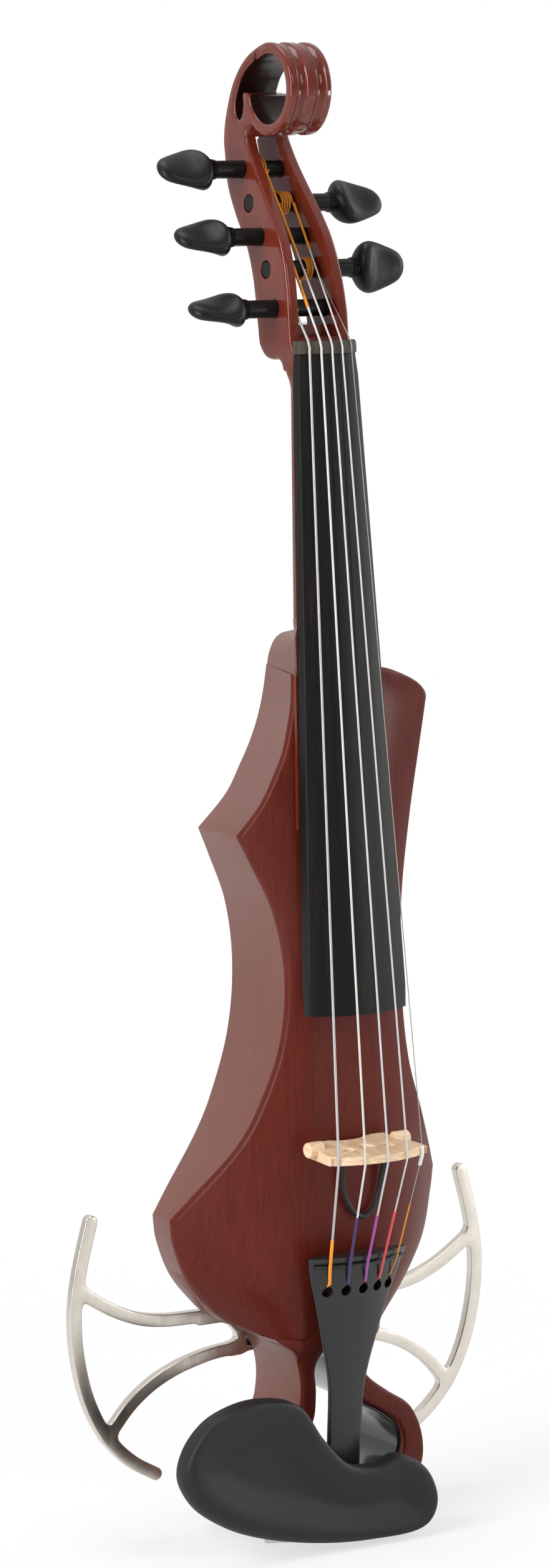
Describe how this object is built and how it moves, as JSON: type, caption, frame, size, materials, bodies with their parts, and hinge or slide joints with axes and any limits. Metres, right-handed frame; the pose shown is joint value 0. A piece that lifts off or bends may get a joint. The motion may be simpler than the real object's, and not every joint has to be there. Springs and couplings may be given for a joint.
{
  "type": "electric violin",
  "caption": "Electric violin with sculpted body, looped tail, open pegbox and open scroll, metal side frames, chin rest, pickup bridge and battery electronics in its back.",
  "frame": {"origin": "on the flat back of the body, on the centre line, behind the bridge", "axes": "+Z along the strings towards the scroll, +Y towards the back, +X to the viewer's right as seen from the front"},
  "size_m": [0.208, 0.1078, 0.6245],
  "materials": {
    "front_wood": "satin stained mahogany",
    "side_wood": "satin stained mahogany, lighter",
    "neck_wood": "satin stained maple",
    "ebony": "oiled ebony",
    "nut_wood": "polished brownish ebony",
    "peg_black": "satin black",
    "silk": "wound orange silk",
    "string_steel": "flat wound metal",
    "maple": "plain maple with fine flecks",
    "gloss_black": "gloss black",
    "cable_black": "satin black",
    "white_plastic": "plain",
    "chin_grey": "fine satin",
    "cork": "sheet cork",
    "plated_steel": "nickel plated",
    "frame_aluminium": "satin anodised, warm",
    "cover_black": "moulded satin",
    "circuit_board": "lacquered",
    "battery_case": "plain"
  },
  "bodies": {
    "violin": {"top_plate": "front_wood", "body_core": "side_wood", "neck_and_scroll": "neck_wood", "fingerboard": "ebony", "tail_saddle": "ebony", "nut": "nut_wood", "string_c": "string_steel", "string_g": "string_steel", "string_d": "string_steel", "string_a": "string_steel", "string_e": "string_steel", "bridge": "maple", "pickup_bass": "maple", "pickup_treble": "maple", "tail_loop_liner": "gloss_black", "tailpiece": "gloss_black", "end_button": "gloss_black", "pickup_lead": "cable_black", "tail_gut": "cable_black", "e_string_sleeve": "white_plastic", "chin_rest": "chin_grey", "chin_rest_pad_left": "cork", "chin_rest_pad_right": "cork", "clamp_pad": "cork", "clamp_upper_bracket": "plated_steel", "clamp_lower_bracket": "plated_steel", "frame_screw_left_1": "plated_steel", "frame_screw_left_2": "plated_steel", "frame_screw_right_1": "plated_steel", "frame_screw_right_2": "plated_steel", "volume_control": "plated_steel", "tone_control": "plated_steel", "output_jack": "plated_steel", "headphone_jack": "plated_steel", "side_frame_left": "frame_aluminium", "side_frame_right": "frame_aluminium", "cavity_cover": "cover_black", "preamp_board": "circuit_board", "battery": "battery_case"},
    "peg_c": {"peg_c": "peg_black", "peg_winding_c": "silk"},
    "peg_g": {"peg_g": "peg_black", "peg_winding_g": "silk"},
    "peg_d": {"peg_d": "peg_black", "peg_winding_d": "silk"},
    "peg_a": {"peg_a": "peg_black", "peg_winding_a": "silk"},
    "peg_e": {"peg_e": "peg_black", "peg_winding_e": "silk"},
    "volume_knob": {"volume_knob": "cover_black"},
    "tone_knob": {"tone_knob": "cover_black"},
    "battery_door": {"battery_door": "cover_black"},
    "clamp_barrel_left": {"clamp_barrel_left": "plated_steel"},
    "clamp_barrel_right": {"clamp_barrel_right": "plated_steel"}
  },
  "joints": [
    {"name": "peg_c_turn", "type": "hinge", "parent": "violin", "child": "peg_c", "pos_m": [0, -0.0215, 0.34602], "axis": [1, 0, 0], "continuous": true},
    {"name": "peg_g_turn", "type": "hinge", "parent": "violin", "child": "peg_g", "pos_m": [0, -0.0083, 0.37512], "axis": [1, 0, 0], "continuous": true},
    {"name": "peg_d_turn", "type": "hinge", "parent": "violin", "child": "peg_d", "pos_m": [0, 0.0082, 0.40259], "axis": [1, 0, 0], "continuous": true},
    {"name": "peg_a_turn", "type": "hinge", "parent": "violin", "child": "peg_a", "pos_m": [0, 0.00148, 0.38861], "axis": [1, 0, 0], "continuous": true},
    {"name": "peg_e_turn", "type": "hinge", "parent": "violin", "child": "peg_e", "pos_m": [0, -0.01382, 0.36177], "axis": [1, 0, 0], "continuous": true},
    {"name": "volume_turn", "type": "hinge", "parent": "violin", "child": "volume_knob", "pos_m": [0.038, -0.004, -0.022], "axis": [0, 1, 0], "range_deg": [-135, 135]},
    {"name": "tone_turn", "type": "hinge", "parent": "violin", "child": "tone_knob", "pos_m": [0.038, -0.004, -0.046], "axis": [0, 1, 0], "range_deg": [-135, 135]},
    {"name": "battery_door_swing", "type": "hinge", "parent": "violin", "child": "battery_door", "pos_m": [-0.03075, 0, -0.0667], "axis": [-1, 0, 0], "range_deg": [0, 100]},
    {"name": "clamp_left_turn", "type": "hinge", "parent": "violin", "child": "clamp_barrel_left", "pos_m": [-0.03713, -0.01875, -0.16064], "axis": [0, 1, 0], "continuous": true},
    {"name": "clamp_right_turn", "type": "hinge", "parent": "violin", "child": "clamp_barrel_right", "pos_m": [-0.0188, -0.01875, -0.16352], "axis": [0, 1, 0], "continuous": true}
  ]
}
